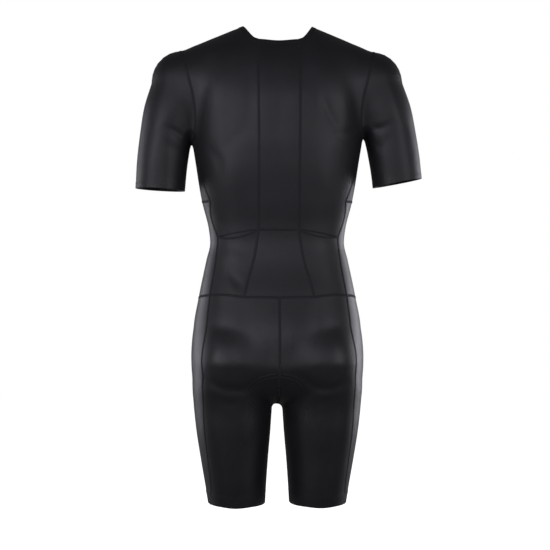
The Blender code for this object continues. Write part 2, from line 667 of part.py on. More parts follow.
def make_slider(chain):
    """The slider's plate and bail sit on the chain near its top; the pull tab hangs from the bail."""
    seat = on_front(0, SLIDER_DROP)
    normal = normals_of(seat[None])[0]
    sideways = np.array([1.0, 0, 0])
    down = np.cross(normal, sideways)
    if down[2] > 0:
        down = -down
    frame = np.stack([sideways, down, normal], axis=1)
    floor = CHAIN_PROUD + SEAM_GAP
    plate_half = (5.2, 7.0, SLIDER_PLATE / 2)
    plate = block("plate", seat + normal * (floor + SLIDER_PLATE / 2), plate_half, frame, ZIP_METAL, 0.5)
    top = floor + SLIDER_PLATE
    foot = 0.4
    height = BAIL_HOLE + BAIL_BAR + foot
    arch_half = (1.1, BAIL_HALF, height / 2)
    arch = block("arch", seat + normal * (top - foot + height / 2), arch_half, frame, ZIP_METAL, 0.3)
    hole_half = (4.0, BAIL_HALF - BAIL_BAR, BAIL_HOLE / 2)
    hole = block("hole", seat + normal * (top + BAIL_HOLE / 2), hole_half, frame, ZIP_METAL, 0.2)
    combine(arch, hole, "DIFFERENCE")
    combine(plate, arch, "UNION")
    plate.name = "zip_slider"

    pivot = seat + normal * (top + BAIL_HOLE / 2)
    reach = TAB_LENGTH / 2
    tab_half = (TAB_HALF, reach, TAB_THICK / 2)
    tab = block("zip_pull_tab", down * (reach - TAB_BAR / 2), tab_half, frame, ZIP_METAL, 0.45)
    window_half = (TAB_WINDOW_HALF, TAB_WINDOW / 2, TAB_THICK)
    window = block("window", down * (TAB_BAR / 2 + TAB_WINDOW / 2), window_half, frame, ZIP_METAL, 0.3)
    combine(tab, window, "DIFFERENCE")
    tab.location = [float(c) * MM for c in pivot]


def combine(target, tool, operation):
    """Cuts or adds tool to target, and removes tool."""
    step = target.modifiers.new(operation, "BOOLEAN")
    step.operation = operation
    step.object = tool
    bpy.context.view_layer.update()
    result = bpy.data.meshes.new_from_object(target.evaluated_get(bpy.context.evaluated_depsgraph_get()))
    target.modifiers.clear()
    target.data = result
    bpy.data.objects.remove(tool)


def main():
    for old in list(bpy.data.objects):
        bpy.data.objects.remove(old)
    torso = {side: torso_seams(side) for side, _ in SIDES}
    legs = {side: leg_seams(side, torso[side]) for side, _ in SIDES}
    neck = make_back(torso)
    make_sides(torso)
    fronts = make_fronts(torso)
    make_neck_band(torso, neck)
    make_sleeves(torso)
    make_legs(torso, legs)
    make_seat_pad()
    make_zip(torso, fronts)


main()
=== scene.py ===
import math
import bmesh
import bpy
import numpy as np
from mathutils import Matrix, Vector


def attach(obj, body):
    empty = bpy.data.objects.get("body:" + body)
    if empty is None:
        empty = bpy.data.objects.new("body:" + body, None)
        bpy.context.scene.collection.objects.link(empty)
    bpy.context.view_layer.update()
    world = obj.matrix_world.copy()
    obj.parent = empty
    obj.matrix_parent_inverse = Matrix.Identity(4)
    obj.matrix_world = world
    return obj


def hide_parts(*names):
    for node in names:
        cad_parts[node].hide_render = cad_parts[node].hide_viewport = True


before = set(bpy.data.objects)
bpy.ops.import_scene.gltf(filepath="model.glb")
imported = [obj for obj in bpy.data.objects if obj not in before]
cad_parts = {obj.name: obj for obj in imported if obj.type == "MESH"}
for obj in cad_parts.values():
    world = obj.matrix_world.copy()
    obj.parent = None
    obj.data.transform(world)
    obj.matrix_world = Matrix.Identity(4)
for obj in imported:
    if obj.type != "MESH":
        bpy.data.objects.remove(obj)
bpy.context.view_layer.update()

# Triathlon suit; the camera looks at its back. Sizes below are in millimetres unless a name says metres.
# The figure is the one the frame's solids are cut on: +Z up, -Y the wearer's front, +X the wearer's left.
mm = 0.001
sides = ((1, "left"), (-1, "right"))

figure = {
    # drop, x of the centre, half width, y of the widest line, y of the back and front, squareness
    "trunk": (
        (-40, 0, 58, 0, 46, -50, 2.0), (0, 0, 67, 0, 54, -57, 2.0), (12, 0, 96, 0, 58, -60, 2.0),
        (30, 0, 139, 0, 65, -65, 2.1), (48, 0, 178, 0, 75, -73, 2.2), (66, 0, 186, 0, 84, -82, 2.3),
        (100, 0, 181, 0, 96, -97, 2.4), (150, 0, 171, 0, 104, -112, 2.4), (214, 0, 163, 0, 104, -119, 2.4),
        (260, 0, 156, 0, 99, -117, 2.4), (337, 0, 143, 0, 83, -108, 2.35), (385, 0, 131, 0, 72, -99, 2.3),
        (413, 0, 128, 0, 69, -96, 2.3), (445, 0, 135, 0, 72, -95, 2.3), (512, 0, 149, 0, 91, -96, 2.35),
        (584, 0, 160, 2, 110, -96, 2.4), (640, 0, 150, 4, 112, -92, 2.4),
    ),
    "arm": (
        (108, 181, 58.5, 2, 62, -58, 2.1), (152, 198, 56, 1, 63, -60, 2.1), (205, 213, 50.5, 0, 59, -58, 2.1),
        (258, 222, 48.5, -2, 55, -57, 2.1), (311, 227, 47, -4, 50, -56, 2.1), (350, 230, 46.5, -5, 48, -55, 2.1),
    ),
    "leg": (
        (640, 86, 76, 8, 118, -91, 2.3), (680, 86, 76, 6, 108, -93, 2.3), (722, 85, 74.5, 2, 96, -95, 2.3),
        (766, 84, 71, 0, 90, -94, 2.3), (825, 82, 64, -2, 81, -88, 2.25), (884, 79, 57, -3, 72, -79, 2.2),
        (912, 77.5, 54, -3, 67, -75, 2.2), (960, 76.5, 52, -3, 62, -70, 2.2),
    ),
    "trunkCap": (0, 76), "armCap": (60, 0), "legCap": (80, 0),
    "armPivot": (180.0, 105.0),
    "armSwing": {1: -1.0, -1: 1.5},           # degrees, how each sleeve was set down
    "armBlend": (9.0, 34.0), "legBlend": 26.0,
}
cut = {
    "cloth": 1.2, "seamGap": 0.3, "neckBand": 7.0, "zipOpening": 5.0, "stripHalf": 38.0,
    "notchDrop": 335.0, "pocketDrop": 389.0, "pocketSideDrop": 403.0, "waistBackDrop": 516.0,
    "waistSideDrop": 518.0, "hemDrop": 908.0,
    "cuffDrop": {1: 311.0, -1: 300.0}, "cuffTilt": {1: 5.0, -1: 10.0},
    "fineness": 6,                             # cells of the fine surface to one of the frame's
    "cutShare": 1.06,                          # how much the worn cloth is stretched from its cut
}
cells = {k: v * cut["fineness"] for k, v in dict(
    halfStrip=2, neckBack=3, neckFront=4, shoulder=4, armhole=7, underarm=4, sideUpper=4, sideMid=2, sideLower=4,
    sleeve=7, seat=8, inseam=5, zipEnd=1).items()}


def columnsOf(table):
    rows = np.array(table, float)
    drops = rows[:, 0]
    slopes = np.gradient(rows[:, 1:], drops, axis=0)
    steps = np.diff(rows[:, 1:], axis=0)
    slopes[1:-1][steps[:-1] * steps[1:] <= 0] = 0
    fine = np.linspace(drops[0], drops[-1], 1500)
    at = np.clip(np.searchsorted(drops, fine, side="right") - 1, 0, len(drops) - 2)
    width = np.diff(drops)[at][:, None]
    t = ((fine - drops[at]) / width[:, 0])[:, None]
    return fine, ((2 * t**3 - 3 * t**2 + 1) * rows[at, 1:] + (t**3 - 2 * t**2 + t) * width * slopes[at]
                  + (3 * t**2 - 2 * t**3) * rows[at + 1, 1:] + (t**3 - t**2) * width * slopes[at + 1])


class Limb:
    def __init__(self, table, caps):
        self.drops, self.values = columnsOf(table)
        self.caps = caps
        self.step = (len(self.drops) - 1) / (self.drops[-1] - self.drops[0])

    def distance(self, x, y, drop):
        at = np.clip((drop - self.drops[0]) * self.step, 0, len(self.drops) - 1.001)
        low = at.astype(int)
        share = (at - low)[:, None]
        row = self.values[low] * (1 - share) + self.values[low + 1] * share
        x0, half, sideY, backY, frontY, square = row.T
        depth = np.where(y > sideY, backY - sideY, sideY - frontY)
        across = np.abs(x - x0) / half
        along = np.abs(y - sideY) / depth
        total = across**square + along**square
        for edge, cap, sign in ((self.drops[0], self.caps[0], -1), (self.drops[-1], self.caps[1], 1)):
            if cap:
                total = total + (np.maximum(0, sign * (drop - edge)) / cap) ** 2
        norm = np.maximum(total, 1e-9) ** (1 / square)
        slope = np.hypot(across ** (square - 1) / half, along ** (square - 1) / depth) * norm ** (1 - square)
        return (norm - 1) / np.maximum(slope, 1 / (1.6 * np.maximum(half, depth)))


trunk = Limb(figure["trunk"], figure["trunkCap"])
arm = Limb(figure["arm"], figure["armCap"])
leg = Limb(figure["leg"], figure["legCap"])


def blended(a, b, radius):
    share = np.maximum(radius - np.abs(a - b), 0) / radius
    return np.minimum(a, b) - share * share * radius / 4


def armDistance(p, side):
    angle = math.radians(figure["armSwing"][side])
    px, pd = figure["armPivot"]
    x, drop = side * p[:, 0] - px, -p[:, 2] - pd
    turnedX = x * math.cos(angle) - drop * math.sin(angle)
    turnedDrop = x * math.sin(angle) + drop * math.cos(angle)
    return arm.distance(turnedX + px, p[:, 1], turnedDrop + pd)


def form(p, arms=True):
    x, y, drop = p[:, 0], p[:, 1], -p[:, 2]
    body = trunk.distance(x, y, drop)
    for side in (1, -1):
        body = blended(body, leg.distance(side * x, y, drop), figure["legBlend"])
    if arms:
        low, high = figure["armBlend"]
        radius = low + (high - low) * np.clip(np.abs(y) / 45, 0, 1) ** 2
        for side in (1, -1):
            body = blended(body, armDistance(p, side), radius)
    return body


def slopeOf(p, arms=True, step=0.4):
    return np.stack([(form(p + m, arms) - form(p - m, arms)) / (2 * step) for m in np.eye(3) * step], axis=1)


def settle(points, arms=True, rounds=9):
    flat = np.array(points, float).reshape(-1, 3)
    for _ in range(rounds):
        slope = slopeOf(flat, arms)
        move = (form(flat, arms) / np.maximum((slope**2).sum(1), 0.05))[:, None] * slope
        length = np.linalg.norm(move, axis=1, keepdims=True)
        flat = flat - move * np.minimum(1, 25 / np.maximum(length, 1e-9))
    return flat.reshape(np.shape(points))


def normalsOf(points):
    slope = slopeOf(np.asarray(points).reshape(-1, 3))
    return (slope / np.linalg.norm(slope, axis=1, keepdims=True)).reshape(np.shape(points))


def cast(start, way, arms=True):
    line = np.array(start, float) + np.arange(0, 700, 1.0)[:, None] * np.array(way, float)
    first = int(np.argmax(form(line, arms) < 0))
    return settle(line[first:first + 1], arms)[0]


def onBack(x, drop):
    return cast((x, 300, -drop), (0, -1, 0))


def onFront(x, drop):
    return cast((x, -300, -drop), (0, 1, 0))


def onSide(side, y, drop):
    return cast((side * 340, y, -drop), (-side, 0, 0), arms=False)


def onTop(x, y):
    return cast((x, y, 200), (0, 0, -1))


def insideLeg(side, y, drop):
    return cast((0, y, -drop), (side, 0, 0))


def smoothLine(points, count):
    points = np.array(points, float)
    chords = np.maximum(np.linalg.norm(np.diff(points, axis=0), axis=1), 1e-6) ** 0.5
    knots = np.concatenate([[0], np.cumsum(chords)])
    slopes = np.gradient(points, knots, axis=0)
    at = np.linspace(0, knots[-1], count)
    k = np.clip(np.searchsorted(knots, at, side="right") - 1, 0, len(knots) - 2)
    width = (knots[k + 1] - knots[k])[:, None]
    t = ((at - knots[k]) / width[:, 0])[:, None]
    return ((2 * t**3 - 3 * t**2 + 1) * points[k] + (t**3 - 2 * t**2 + t) * width * slopes[k]
            + (3 * t**2 - 2 * t**3) * points[k + 1] + (t**3 - t**2) * width * slopes[k + 1])


def lengthAlong(line):
    return np.concatenate([[0], np.cumsum(np.linalg.norm(np.diff(line, axis=0), axis=1))])


def evenly(line, count):
    length = lengthAlong(line)
    at = np.linspace(0, length[-1], count + 1)
    return np.stack([np.interp(at, length, line[:, k]) for k in range(3)], 1)


def seam(points, count):
    return settle(evenly(settle(smoothLine(points, 25 * len(points))), count), rounds=4)


def joined(*lines):
    return np.concatenate([lines[0]] + [line[1:] for line in lines[1:]])


def relaxed(grid, rounds):
    for _ in range(rounds):
        middle = (grid[:-2, 1:-1] + grid[2:, 1:-1] + grid[1:-1, :-2] + grid[1:-1, 2:]) / 4
        grid[1:-1, 1:-1] = middle
    return grid


def spreadOut(top, bottom, left, right):
    # a grid on the figure between four seams, rows from top to bottom
    rows, columns = len(left), len(top)
    u = np.linspace(0, 1, columns)[None, :, None]
    v = np.linspace(0, 1, rows)[:, None, None]
    corners = (1 - u) * (1 - v) * top[0] + u * (1 - v) * top[-1] + (1 - u) * v * bottom[0] + u * v * bottom[-1]
    grid = (1 - v) * top[None] + v * bottom[None] + (1 - u) * left[:, None] + u * right[:, None] - corners
    for turns in (12, 12):
        grid[1:-1, 1:-1] = settle(grid[1:-1, 1:-1], rounds=5)
        grid = relaxed(grid, turns)
    grid[1:-1, 1:-1] = settle(grid[1:-1, 1:-1], rounds=4)
    return grid


def armPoint(side, x, y, drop):
    angle = math.radians(figure["armSwing"][side])
    px, pd = figure["armPivot"]
    dx, dd = x - px, drop - pd
    return np.array([side * (dx * math.cos(angle) + dd * math.sin(angle) + px), y,
                     -(-dx * math.sin(angle) + dd * math.cos(angle) + pd)])


def sleeveRing(side, drop, tilt, count):
    x0, half, sideY, backY, frontY, _ = arm.values[int(np.searchsorted(arm.drops, drop))]
    points = []
    for k in range(8 * 18 + 1):
        turn = 2 * math.pi * k / (8 * 18)
        out, back = -math.cos(turn), math.sin(turn)
        y = sideY + back * ((backY - sideY) if back > 0 else (sideY - frontY)) * 1.15
        lower = drop - out * half * math.tan(math.radians(tilt))
        points.append(armPoint(side, x0 + out * half * 1.15, y, lower))
    return evenly(settle(np.array(points)), count)


def torsoSeams(s):
    # the seams of one side of the upper body, each a row of points from top to bottom
    gap, strip = cut["zipOpening"], cut["stripHalf"]
    neckSide, neckStrip, neckZip = onTop(s * 73.5, -5), onBack(s * strip, 38), onFront(s * gap, 84)
    tip = cast((s * 187, -8, 200), (0, 0, -1))
    pocketStrip, pocketSide = onBack(s * strip, cut["pocketDrop"]), onBack(s * 114, cut["pocketSideDrop"])
    waistStrip = onBack(s * 66, cut["waistBackDrop"])
    underArm = ((163, 0), (162, 17), (162, -17))
    armpit, underBack, underFront = (cast((s * x, y, -330), (0, 0, 1)) for x, y in underArm)
    notchBack, notchFront = onSide(s, 44, cut["notchDrop"]), onSide(s, -46, cut["notchDrop"])
    waistBackSide = onBack(s * 129, cut["waistBackDrop"] - 3)
    waistFrontSide = onFront(s * 132, cut["waistSideDrop"])
    waistZip = onFront(s * gap, cut["waistSideDrop"] - 2)
    holeBack = [(177, 72), (169, 104), (160, 140), (156, 172), (157, 200)]
    holeFront = [(174, 72), (161, 104), (152, 140), (149, 172), (153, 200)]
    low = cells["neckBack"] + cells["shoulder"]
    lowFront = cells["neckFront"] + cells["shoulder"]
    long = cells["armhole"] + cells["sideUpper"] + cells["sideMid"]
    half = cells["underarm"] // 2
    midDrop = (cut["pocketDrop"] + cut["pocketSideDrop"]) / 2 - 1
    return dict(
        neckBack=seam([neckStrip, onBack(s * 50, 33), onBack(s * 61, 21), neckSide], cells["neckBack"]),
        neckFront=seam([neckZip, onFront(s * 38, 70), onFront(s * 62, 36), neckSide], cells["neckFront"]),
        shoulder=seam([neckSide, onTop(s * 110, -9), onTop(s * 150, -10), tip], cells["shoulder"]),
        holeBack=seam([tip] + [onBack(s * x, d) for x, d in holeBack] + [underBack], cells["armhole"]),
        holeFront=seam([tip] + [onFront(s * x, d) for x, d in holeFront] + [underFront], cells["armhole"]),
        underarm=joined(seam([underBack, armpit], half), seam([armpit, underFront], half)),
        stripUpper=seam([neckStrip, onBack(s * strip, 200), pocketStrip], long),
        flare=seam([pocketStrip, onBack(s * 46, 442), onBack(s * 57, 482), waistStrip], cells["sideLower"]),
        backUpper=seam([underBack, onSide(s, 26, 262), onSide(s, 38, 300), notchBack], cells["sideUpper"]),
        backMid=seam([notchBack, onBack(s * 126, 368), pocketSide], cells["sideMid"]),
        backLower=seam([pocketSide, onBack(s * 115, 424), onBack(s * 121, 466), waistBackSide], cells["sideLower"]),
        frontUpper=seam([underFront, onSide(s, -28, 262), onSide(s, -39, 300), notchFront], cells["sideUpper"]),
        frontMid=seam([notchFront, onFront(s * 124, 372), onFront(s * 117, 400)], cells["sideMid"]),
        frontLower=seam([onFront(s * x, d) for x, d in ((117, 400), (118, 430), (124, 470))] + [waistFrontSide],
                        cells["sideLower"]),
        notch=seam([notchBack, onSide(s, 0, cut["notchDrop"]), notchFront], cells["underarm"]),
        zipEdge=seam([neckZip, onFront(s * gap, 200), onFront(s * gap, 360), waistZip], long + cells["sideLower"]),
        pocket=seam([pocketStrip, onBack(s * 76, midDrop), pocketSide], low),
        waistBack=seam([waistStrip, onBack(s * 100, cut["waistBackDrop"] - 4), waistBackSide], low),
        waistSide=seam([waistBackSide, onSide(s, 0, cut["waistSideDrop"]), waistFrontSide], cells["underarm"]),
        waistFront=seam([waistFrontSide, onFront(s * 70, cut["waistSideDrop"]), waistZip], lowFront),
        waistCentre=seam([onBack(0, cut["waistBackDrop"] + 1), waistStrip], cells["halfStrip"]),
        waistZip=seam([waistZip, onFront(0, cut["waistSideDrop"] - 2)], cells["zipEnd"]),
    )


def crotchPoint(turn):
    # on the centre line: 0 is the back, 90 straight under, 180 the front
    angle = math.radians(turn)
    way = np.array([0.0, math.cos(angle), -math.sin(angle)])
    return cast(np.array([0, 0, -640.0]) + 320 * way, -way)


def legSeams(s, top):
    hem, crotch = cut["hemDrop"], crotchPoint(90)
    hemInner, hemBackSide, hemFrontSide = insideLeg(s, -3, hem), onSide(s, 26, hem), onSide(s, -36, hem)
    long = cells["seat"] + cells["inseam"]
    sideBack = [(134, 562), (141, 606), (143, 655), (142, 700), (140, 748), (133, 822), (127, 876)]
    sideFront = [(-56, 580), (-55, 660), (-50, 760), (-42, 850)]
    backCount = cells["halfStrip"] + cells["neckBack"] + cells["shoulder"]
    frontCount = cells["neckFront"] + cells["shoulder"] + cells["zipEnd"]
    return dict(
        seat=seam([top["waistCentre"][0], onBack(0, 580)] + [crotchPoint(t) for t in (5, 30, 55, 75)] + [crotch],
                  cells["seat"]),
        front=seam([top["waistZip"][-1], onFront(0, 580)] + [crotchPoint(t) for t in (175, 150, 125, 105)] + [crotch],
                   cells["seat"]),
        inseam=seam([crotch] + [insideLeg(s, -2, d) for d in (745, 790, 850)] + [hemInner], cells["inseam"]),
        sideBack=seam([top["waistSide"][0]] + [onBack(s * x, d) for x, d in sideBack] + [hemBackSide], long),
        sideFront=seam([top["waistSide"][-1]] + [onSide(s, y, d) for y, d in sideFront] + [hemFrontSide], long),
        hemBack=seam([hemInner, onBack(s * 50, hem + 2), onBack(s * 80, hem + 4), onBack(s * 108, hem + 2),
                      hemBackSide], backCount),
        hemSide=seam([hemBackSide, onSide(s, -5, hem), hemFrontSide], cells["underarm"]),
        hemFront=seam([hemFrontSide, onFront(s * 80, hem), onFront(s * 46, hem), hemInner], frontCount),
    )


print("seams")
torso = {s: torsoSeams(s) for s, _ in sides}
legs = {s: legSeams(s, torso[s]) for s, _ in sides}


creases = {
    # soft troughs (depth above 0) and ridges (below 0): where each runs (x, drop), its half width and its depth
    "back": [
        dict(path=((104, 92), (116, 142), (124, 205)), width=27, depth=-2.6),
        dict(path=((52, 78), (53, 150), (64, 206), (98, 232)), width=13, depth=2.3),
        dict(path=((84, 258), (93, 322)), width=24, depth=-1.6),
        dict(path=((128, 238), (112, 262), (108, 292)), width=10, depth=1.0),
        dict(path=((0, 110), (0, 340)), width=20, depth=1.4),
        dict(path=((-80, 140), (-92, 172), (-110, 202)), width=8, depth=1.9),
        dict(path=((-118, 130), (-126, 210)), width=20, depth=-2.4),
        dict(path=((-92, 96), (-96, 128)), width=22, depth=-1.4),
        dict(path=((-56, 92), (-58, 150)), width=12, depth=1.0),
        dict(path=((-84, 250), (-90, 318)), width=24, depth=-1.2),
        dict(path=((92, 470), (70, 498)), width=8, depth=1.3),
        dict(path=((60, 452), (96, 436)), width=16, depth=-1.2),
        dict(path=((-66, 446), (-100, 470)), width=18, depth=-1.0),
        dict(path=((60, 536), (58, 618)), width=13, depth=0.9),
        dict(path=((-68, 540), (-69, 622)), width=13, depth=0.8),
        dict(path=((112, 530), (108, 640)), width=28, depth=-1.0),
        dict(path=((-24, 556), (-24, 632)), width=16, depth=-0.7),
        dict(path=((-108, 536), (-107, 636)), width=26, depth=-0.9),
        dict(path=((138, 664), (100, 686), (58, 684), (34, 666)), width=9, depth=2.6),
        dict(path=((-36, 662), (-76, 685), (-128, 674)), width=8, depth=2.4),
        dict(path=((118, 704), (92, 712), (70, 708)), width=10, depth=1.0),
        dict(path=((-96, 706), (-72, 712)), width=9, depth=0.9),
        dict(path=((168, 228), (196, 205), (222, 197)), width=7, depth=2.0),
        dict(path=((172, 246), (196, 238), (214, 226)), width=8, depth=1.4),
        dict(path=((206, 150), (216, 190), (222, 236)), width=16, depth=-1.5),
        dict(path=((-162, 224), (-190, 198), (-222, 186)), width=7, depth=2.3),
        dict(path=((-168, 240), (-192, 232), (-212, 214)), width=8, depth=1.5),
        dict(path=((-198, 92), (-214, 140), (-226, 190)), width=15, depth=-1.4),
        dict(path=((44, 770), (58, 806), (62, 850)), width=12, depth=0.9),
        dict(path=((-52, 762), (-62, 810), (-64, 858)), width=12, depth=0.8),
    ],
    "front": [
        dict(path=((150, 176), (118, 206), (84, 222)), width=12, depth=1.8),
        dict(path=((-148, 170), (-120, 198), (-80, 210)), width=11, depth=1.9),
        dict(path=((138, 232), (106, 246), (72, 250)), width=12, depth=1.1),
        dict(path=((-140, 226), (-112, 240), (-86, 240)), width=12, depth=1.2),
        dict(path=((96, 130), (84, 166)), width=26, depth=-1.6),
        dict(path=((-94, 128), (-86, 168)), width=26, depth=-1.6),
        dict(path=((108, 360), (76, 378), (40, 384)), width=11, depth=1.3),
        dict(path=((-102, 366), (-70, 380), (-36, 382)), width=12, depth=1.2),
        dict(path=((112, 410), (80, 420), (44, 418)), width=10, depth=1.0),
        dict(path=((-110, 418), (-84, 424), (-40, 430)), width=10, depth=1.1),
        dict(path=((20, 694), (52, 660), (92, 628)), width=10, depth=2.0),
        dict(path=((-20, 694), (-50, 656), (-94, 630)), width=10, depth=2.1),
        dict(path=((36, 726), (70, 700), (110, 680)), width=11, depth=1.2),
        dict(path=((-34, 724), (-74, 702), (-108, 688)), width=11, depth=1.1),
        dict(path=((164, 226), (194, 206), (220, 200)), width=7, depth=2.0),
        dict(path=((-162, 222), (-194, 200), (-222, 192)), width=7, depth=2.0),
        dict(path=((80, 780), (84, 850)), width=22, depth=-0.9),
        dict(path=((-80, 780), (-84, 850)), width=22, depth=-0.9),
    ],
}


def creaseLines():
    lines = []
    for face, cast2d in (("back", onBack), ("front", onFront)):
        for crease in creases[face]:
            dense = smoothLine([cast2d(x, drop) for x, drop in crease["path"]], 24)
            share = np.linspace(0, 1, len(dense))
            fade = np.sin(math.pi * (0.08 + 0.84 * share)) ** 0.8       # each dies away at its ends
            lines.append((dense, fade, crease["width"], crease["depth"]))
    return lines


print("creases")
softLines = creaseLines()


def creased(points):
    # how far the cloth stands off the figure at each point, in mm
    flat = np.asarray(points).reshape(-1, 3)
    rise = np.zeros(len(flat))
    for line, fade, width, depth in softLines:
        low, high = line.min(0) - 3 * width, line.max(0) + 3 * width
        near = np.flatnonzero(((flat > low) & (flat < high)).all(1))
        if len(near) == 0:
            continue
        apart = np.linalg.norm(flat[near][:, None] - line[None], axis=2)
        best = (fade[None] * np.exp(-(apart / width) ** 2)).max(1)
        rise[near] -= depth * best
    return rise.reshape(np.shape(points)[:-1])


def drawnIn(grid, amount):
    moved = grid.copy()
    for axis in (0, 1):
        turned, result = np.moveaxis(grid, axis, 0), np.moveaxis(moved, axis, 0)
        for edge, inner in ((0, 1), (-1, -2)):
            along = np.gradient(turned[edge], axis=0)
            along /= np.maximum(np.linalg.norm(along, axis=1, keepdims=True), 1e-9)
            inwards = turned[inner] - turned[edge]
            inwards -= (inwards * along).sum(1, keepdims=True) * along
            result[edge] += amount * inwards / np.maximum(np.linalg.norm(inwards, axis=1, keepdims=True), 1e-9)
    return moved


def meshFrom(name, verts, quads, uv):
    mesh = bpy.data.meshes.new(name)
    mesh.vertices.add(len(verts))
    mesh.vertices.foreach_set("co", (np.asarray(verts, float) * mm).astype(np.float32).ravel())
    quads = np.asarray(quads, np.int32)
    mesh.loops.add(quads.size)
    mesh.loops.foreach_set("vertex_index", quads.ravel())
    mesh.polygons.add(len(quads))
    mesh.polygons.foreach_set("loop_start", np.arange(0, quads.size, 4, dtype=np.int32))
    mesh.update(calc_edges=True)
    layer = mesh.uv_layers.new(name="cloth")
    layer.data.foreach_set("uv", (uv[quads.ravel()] * mm).astype(np.float32).ravel())
    mesh.validate()
    mesh.shade_smooth()
    mesh.set_sharp_from_angle(angle=math.radians(50))
    made = bpy.data.objects.new(name, mesh)
    bpy.context.collection.objects.link(made)
    return made


def pieceName(node):
    first, *rest = node.split("_")
    return first + "".join(word.title() for word in rest) + "Cloth"


def clothUv(grid):
    # real lengths over the cloth: across from the middle of each row, and down from the top
    stepsAcross = np.linalg.norm(np.diff(grid, axis=1), axis=2)
    stepsDown = np.linalg.norm(np.diff(grid, axis=0), axis=2)
    across = np.concatenate([np.zeros((len(grid), 1)), np.cumsum(stepsAcross, 1)], 1)
    down = np.concatenate([np.zeros((1, grid.shape[1])), np.cumsum(stepsDown, 0)])
    across -= across[:, -1:] / 2
    return np.stack([across, down], 2)


def facesOut(grid, normals):
    middle = (len(grid) // 2, grid.shape[1] // 2)
    a = grid[middle[0] + 1, middle[1]] - grid[middle]
    b = grid[middle[0], middle[1] + 1] - grid[middle]
    return np.dot(np.cross(a, b), normals[middle]) > 0


# how far hems are turned up, what that adds outside, and where their stitch rows lie from the turned edge
turned = {"leg": 22.0, "cuff": 10.0, "rise": 0.45, "legRows": (-2.0, 1.0), "cuffRows": (-1.5, 1.0)}


def shell(name, grid, outer, inner, inset=0.0):
    # a closed wall between two heights over the same grid on the figure, with its cloth coordinates
    rows, columns = grid.shape[:2]
    normals = normalsOf(grid)
    edge = drawnIn(grid, inset)
    faces = [(edge + normals * height[..., None]).reshape(-1, 3) for height in (outer, inner)]
    at = np.arange(rows * columns).reshape(rows, columns)
    quads = np.stack([at[:-1, :-1], at[1:, :-1], at[1:, 1:], at[:-1, 1:]], 2).reshape(-1, 4)
    ring = np.concatenate([at[0, :], at[1:, -1], at[-1, -2::-1], at[-2:0:-1, 0]])
    after = np.roll(ring, -1)
    shift = rows * columns
    rim = np.stack([ring, after, after + shift, ring + shift], 1)
    quads = np.concatenate([quads, quads[:, ::-1] + shift, rim])
    if not facesOut(grid, normals):
        quads = quads[:, ::-1]
    uv = np.tile(clothUv(grid).reshape(-1, 2), (2, 1))
    return meshFrom(name, np.concatenate(faces), quads, uv)


def clothPiece(name, grid, look, slotName, lift=0.0, thickness=cut["cloth"] - 0.2, hem=0.0):
    # one cut piece: a wall on the figure that follows the creases
    uv = clothUv(grid)
    rise = np.broadcast_to(np.asarray(lift, float), grid.shape[:2]) + creased(grid)
    if hem:
        above = uv[-1, :, 1] - uv[..., 1]
        rise = rise + turned["rise"] * np.clip((hem + 2 - above) / 4, 0, 1)
    made = shell(pieceName(name), grid, rise, rise - thickness, inset=cut["seamGap"] / 2)
    made.data.materials.append(look)
    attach(made, "suit")
    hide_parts(name)
    return made


class Val:
    # a socket that Python's own signs add Math nodes to
    def __init__(self, tree, socket):
        self.tree = tree
        self.socket = socket

    def math(self, operation, *others):
        return mathNode(self.tree, operation, self, *others)

    def __add__(self, other):
        return mathNode(self.tree, "ADD", self, other)

    def __radd__(self, other):
        return mathNode(self.tree, "ADD", other, self)

    def __sub__(self, other):
        return mathNode(self.tree, "SUBTRACT", self, other)

    def __rsub__(self, other):
        return mathNode(self.tree, "SUBTRACT", other, self)

    def __mul__(self, other):
        return mathNode(self.tree, "MULTIPLY", self, other)

    def __rmul__(self, other):
        return mathNode(self.tree, "MULTIPLY", other, self)

    def __truediv__(self, other):
        return mathNode(self.tree, "DIVIDE", self, other)

    def __pow__(self, other):
        return mathNode(self.tree, "POWER", self, other)


def plug(tree, value, socket):
    if isinstance(value, Val):
        tree.links.new(value.socket, socket)
    elif socket.type == "RGBA" and len(value) == 3:
        socket.default_value = (*value, 1.0)
    else:
        socket.default_value = value


def mathNode(tree, operation, *values):
    made = tree.nodes.new("ShaderNodeMath")
    made.operation = operation
    for socket, value in zip(made.inputs, values):
        plug(tree, value, socket)
    return Val(tree, made.outputs[0])


class Look:
    # one finish, and the ways to put nodes in it
    def __init__(self, name):
        self.material = bpy.data.materials.new(name)
        self.material.use_nodes = True
        self.tree = self.material.node_tree
        self.shader = self.tree.nodes["Principled BSDF"]

    def node(self, kind, settings=None, out=0, **inputs):
        made = self.tree.nodes.new("ShaderNode" + kind)
        for key, value in (settings or {}).items():
            setattr(made, key, value)
        for key, value in inputs.items():
            plug(self.tree, value, made.inputs[key.replace("_", " ")])
        return Val(self.tree, made.outputs[out])

    def feed(self, socket, value):
        plug(self.tree, value, self.shader.inputs[socket])

    def mixed(self, factor, a, b):
        made = self.tree.nodes.new("ShaderNodeMix")
        made.data_type = "RGBA"
        for place, value in ((0, factor), (6, a), (7, b)):
            plug(self.tree, value, made.inputs[place])
        return Val(self.tree, made.outputs[2])

    def axes(self, vector):
        return [self.node("SeparateXYZ", Vector=vector, out=k) for k in range(3)]


